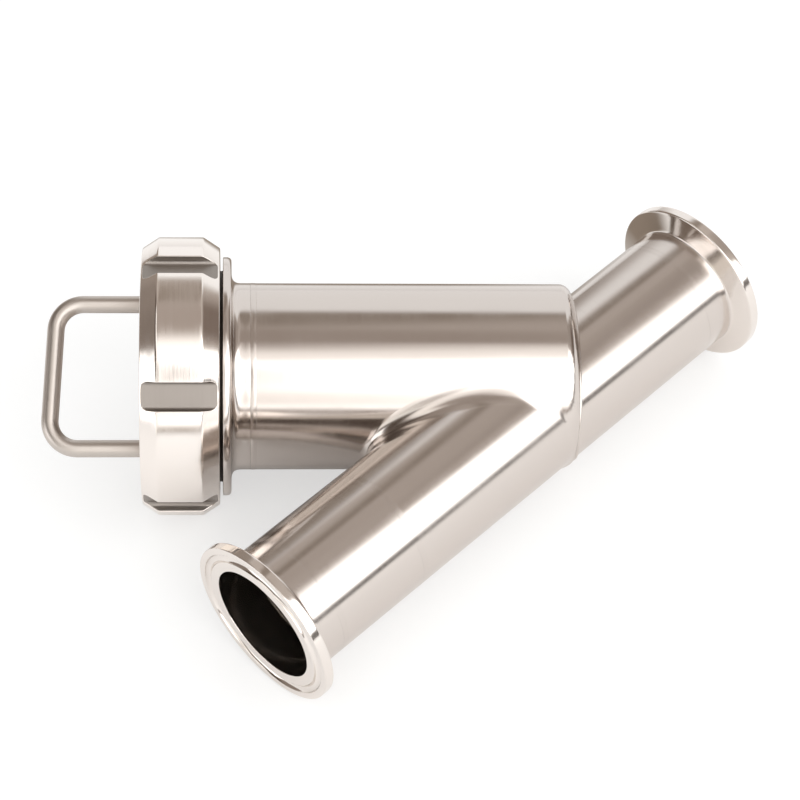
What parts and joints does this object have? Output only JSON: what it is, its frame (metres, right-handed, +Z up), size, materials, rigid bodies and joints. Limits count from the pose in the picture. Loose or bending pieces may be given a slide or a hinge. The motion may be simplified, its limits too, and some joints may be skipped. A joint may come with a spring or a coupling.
{
  "type": "y strainer",
  "caption": "Stainless sanitary Y strainer: a clamp-ended run tube with a slanted housing whose slotted union nut holds a handled cover and pull-out screen.",
  "frame": {"origin": "centre of the outlet ferrule's sealing face, on the run's axis", "axes": "+X along the run's axis from the outlet to the inlet; +Z up with the strainer lying on a table, its two ferrule rims and its union nut level, and the housing's belly 1 mm lower; +Y to the side that the strainer leg points to"},
  "size_m": [0.1783, 0.1364, 0.0823],
  "materials": {
    "satin_tube": "satin, brushed along the tube",
    "ground_weld": "ground flush and brushed",
    "polished_ferrule": "fine turned and buffed",
    "turned_steel": "turned",
    "gasket_rubber": "black food-grade rubber",
    "rod_steel": "drawn rod, lightly polished",
    "rod_weld": "weld bead",
    "perforated_sheet": "punched sheet",
    "wire_mesh": "woven wire",
    "nut_steel": "milled and polished"
  },
  "bodies": {
    "housing": {"housing_tube": "satin_tube", "inlet_seam_weld": "ground_weld", "inlet_tube": "satin_tube", "inlet_ferrule_weld": "ground_weld", "inlet_ferrule": "polished_ferrule", "outlet_tube": "satin_tube", "outlet_collar_weld": "ground_weld", "outlet_ferrule_weld": "ground_weld", "outlet_ferrule": "polished_ferrule", "union_weld": "ground_weld", "threaded_union": "turned_steel", "union_gasket": "gasket_rubber", "screen_seat": "turned_steel"},
    "core": {"cover_plate": "turned_steel", "handle": "rod_steel", "handle_welds": "rod_weld", "screen_tube": "perforated_sheet", "screen_mesh": "wire_mesh", "screen_end_ring": "turned_steel"},
    "nut": {"union_nut": "nut_steel"}
  },
  "joints": [
    {"name": "core_pull", "type": "slide", "parent": "housing", "child": "core", "axis": [-0.7373, 0.6618, 0.1359], "range_m": [0, 0.16]},
    {"name": "nut_turn", "type": "hinge", "parent": "core", "child": "nut", "pos_m": [0.04743, 0.06783, 0.01393], "axis": [-0.7373, 0.6618, 0.1359], "range_deg": [0, 936]}
  ]
}
